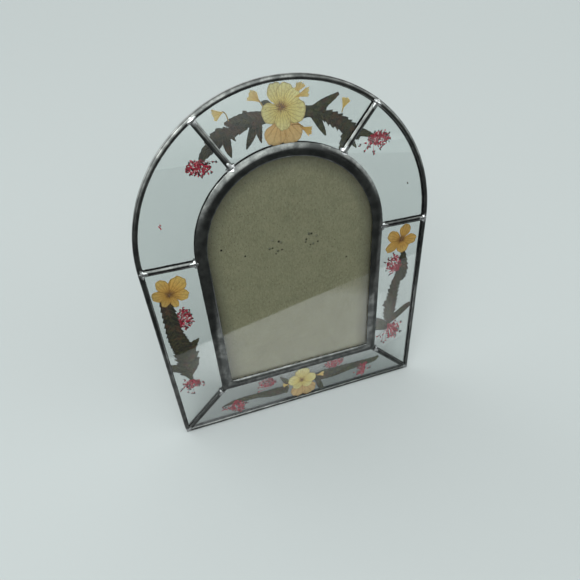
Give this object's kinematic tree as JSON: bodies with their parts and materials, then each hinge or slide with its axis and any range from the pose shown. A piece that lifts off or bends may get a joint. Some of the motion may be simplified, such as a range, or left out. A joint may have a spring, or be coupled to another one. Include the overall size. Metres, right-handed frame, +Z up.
{
  "type": "pressed flower picture frame",
  "caption": "Arched picture frame on an easel leg: pressed flowers between sheets of clear glass in dark soldered cames, round an arched photo opening with a pronged board back.",
  "frame": {"origin": "middle of the footprint, on the surface the frame stands on", "axes": "+Z up, +X to the right seen from the front, +Y from the front towards the easel leg; the face leans back 11 degrees"},
  "size_m": [0.204, 0.0624, 0.2482],
  "materials": {
    "came": "dark patina over solder, worn bright along the crown",
    "clear_glass": "clear polished sheet",
    "petal_yellow": "dry pressed petal, matt",
    "petal_ochre": "dry pressed petal, matt, browned at the middle",
    "petal_peach": "dry pressed petal, matt, browned in patches",
    "leaf": "dry pressed leaf, matt, dark olive",
    "umbel": "dry pressed heads of tiny crimson flowers",
    "chipboard": "raw grey-brown board, matt, flecked",
    "tinned_steel": "tinned, slightly dulled"
  },
  "bodies": {
    "frame": {"rim_came": "came", "opening_came": "came", "bar_radial_left": "came", "bar_radial_right": "came", "bar_spring_left": "came", "bar_spring_right": "came", "bar_mitre_left": "came", "bar_mitre_right": "came", "glass_top_front": "clear_glass", "glass_top_back": "clear_glass", "glass_shoulder_left_front": "clear_glass", "glass_shoulder_left_back": "clear_glass", "glass_shoulder_right_front": "clear_glass", "glass_shoulder_right_back": "clear_glass", "glass_side_left_front": "clear_glass", "glass_side_left_back": "clear_glass", "glass_side_right_front": "clear_glass", "glass_side_right_back": "clear_glass", "glass_base_front": "clear_glass", "glass_base_back": "clear_glass", "photo_glass": "clear_glass", "bloom_top": "petal_yellow", "bloom_top_lower": "petal_peach", "bloom_base": "petal_yellow", "bloom_base_lower": "petal_peach", "bloom_side_left": "petal_ochre", "bloom_side_right": "petal_ochre", "leaf_top_left": "leaf", "leaf_top_right": "leaf", "leaf_shoulder_left": "leaf", "leaf_shoulder_right": "leaf", "leaf_side_left": "leaf", "leaf_side_right": "leaf", "leaf_side_right_low": "leaf", "leaf_base_left": "leaf", "leaf_base_right": "leaf", "umbel_shoulder_left": "umbel", "umbel_shoulder_right": "umbel", "umbel_side_left_high": "umbel", "umbel_side_left_low": "umbel", "umbel_side_right_high": "umbel", "umbel_side_right_low": "umbel", "umbel_base_far_left": "umbel", "umbel_base_left": "umbel", "umbel_base_right": "umbel", "umbel_base_far_right": "umbel", "backing_board": "chipboard", "hinge_plate": "tinned_steel", "hinge_pin": "tinned_steel", "tab_left": "tinned_steel", "tab_right": "tinned_steel", "tab_arch_left": "tinned_steel", "tab_arch_right": "tinned_steel", "tab_base_left": "tinned_steel", "tab_base_right": "tinned_steel"},
    "leg": {"easel_leg": "chipboard", "hinge_leaf": "tinned_steel"}
  },
  "joints": [
    {"name": "leg_hinge", "type": "hinge", "parent": "frame", "child": "leg", "pos_m": [0, 0.00319, 0.13782], "axis": [-1, 0, 0], "range_deg": [0, 22]}
  ]
}
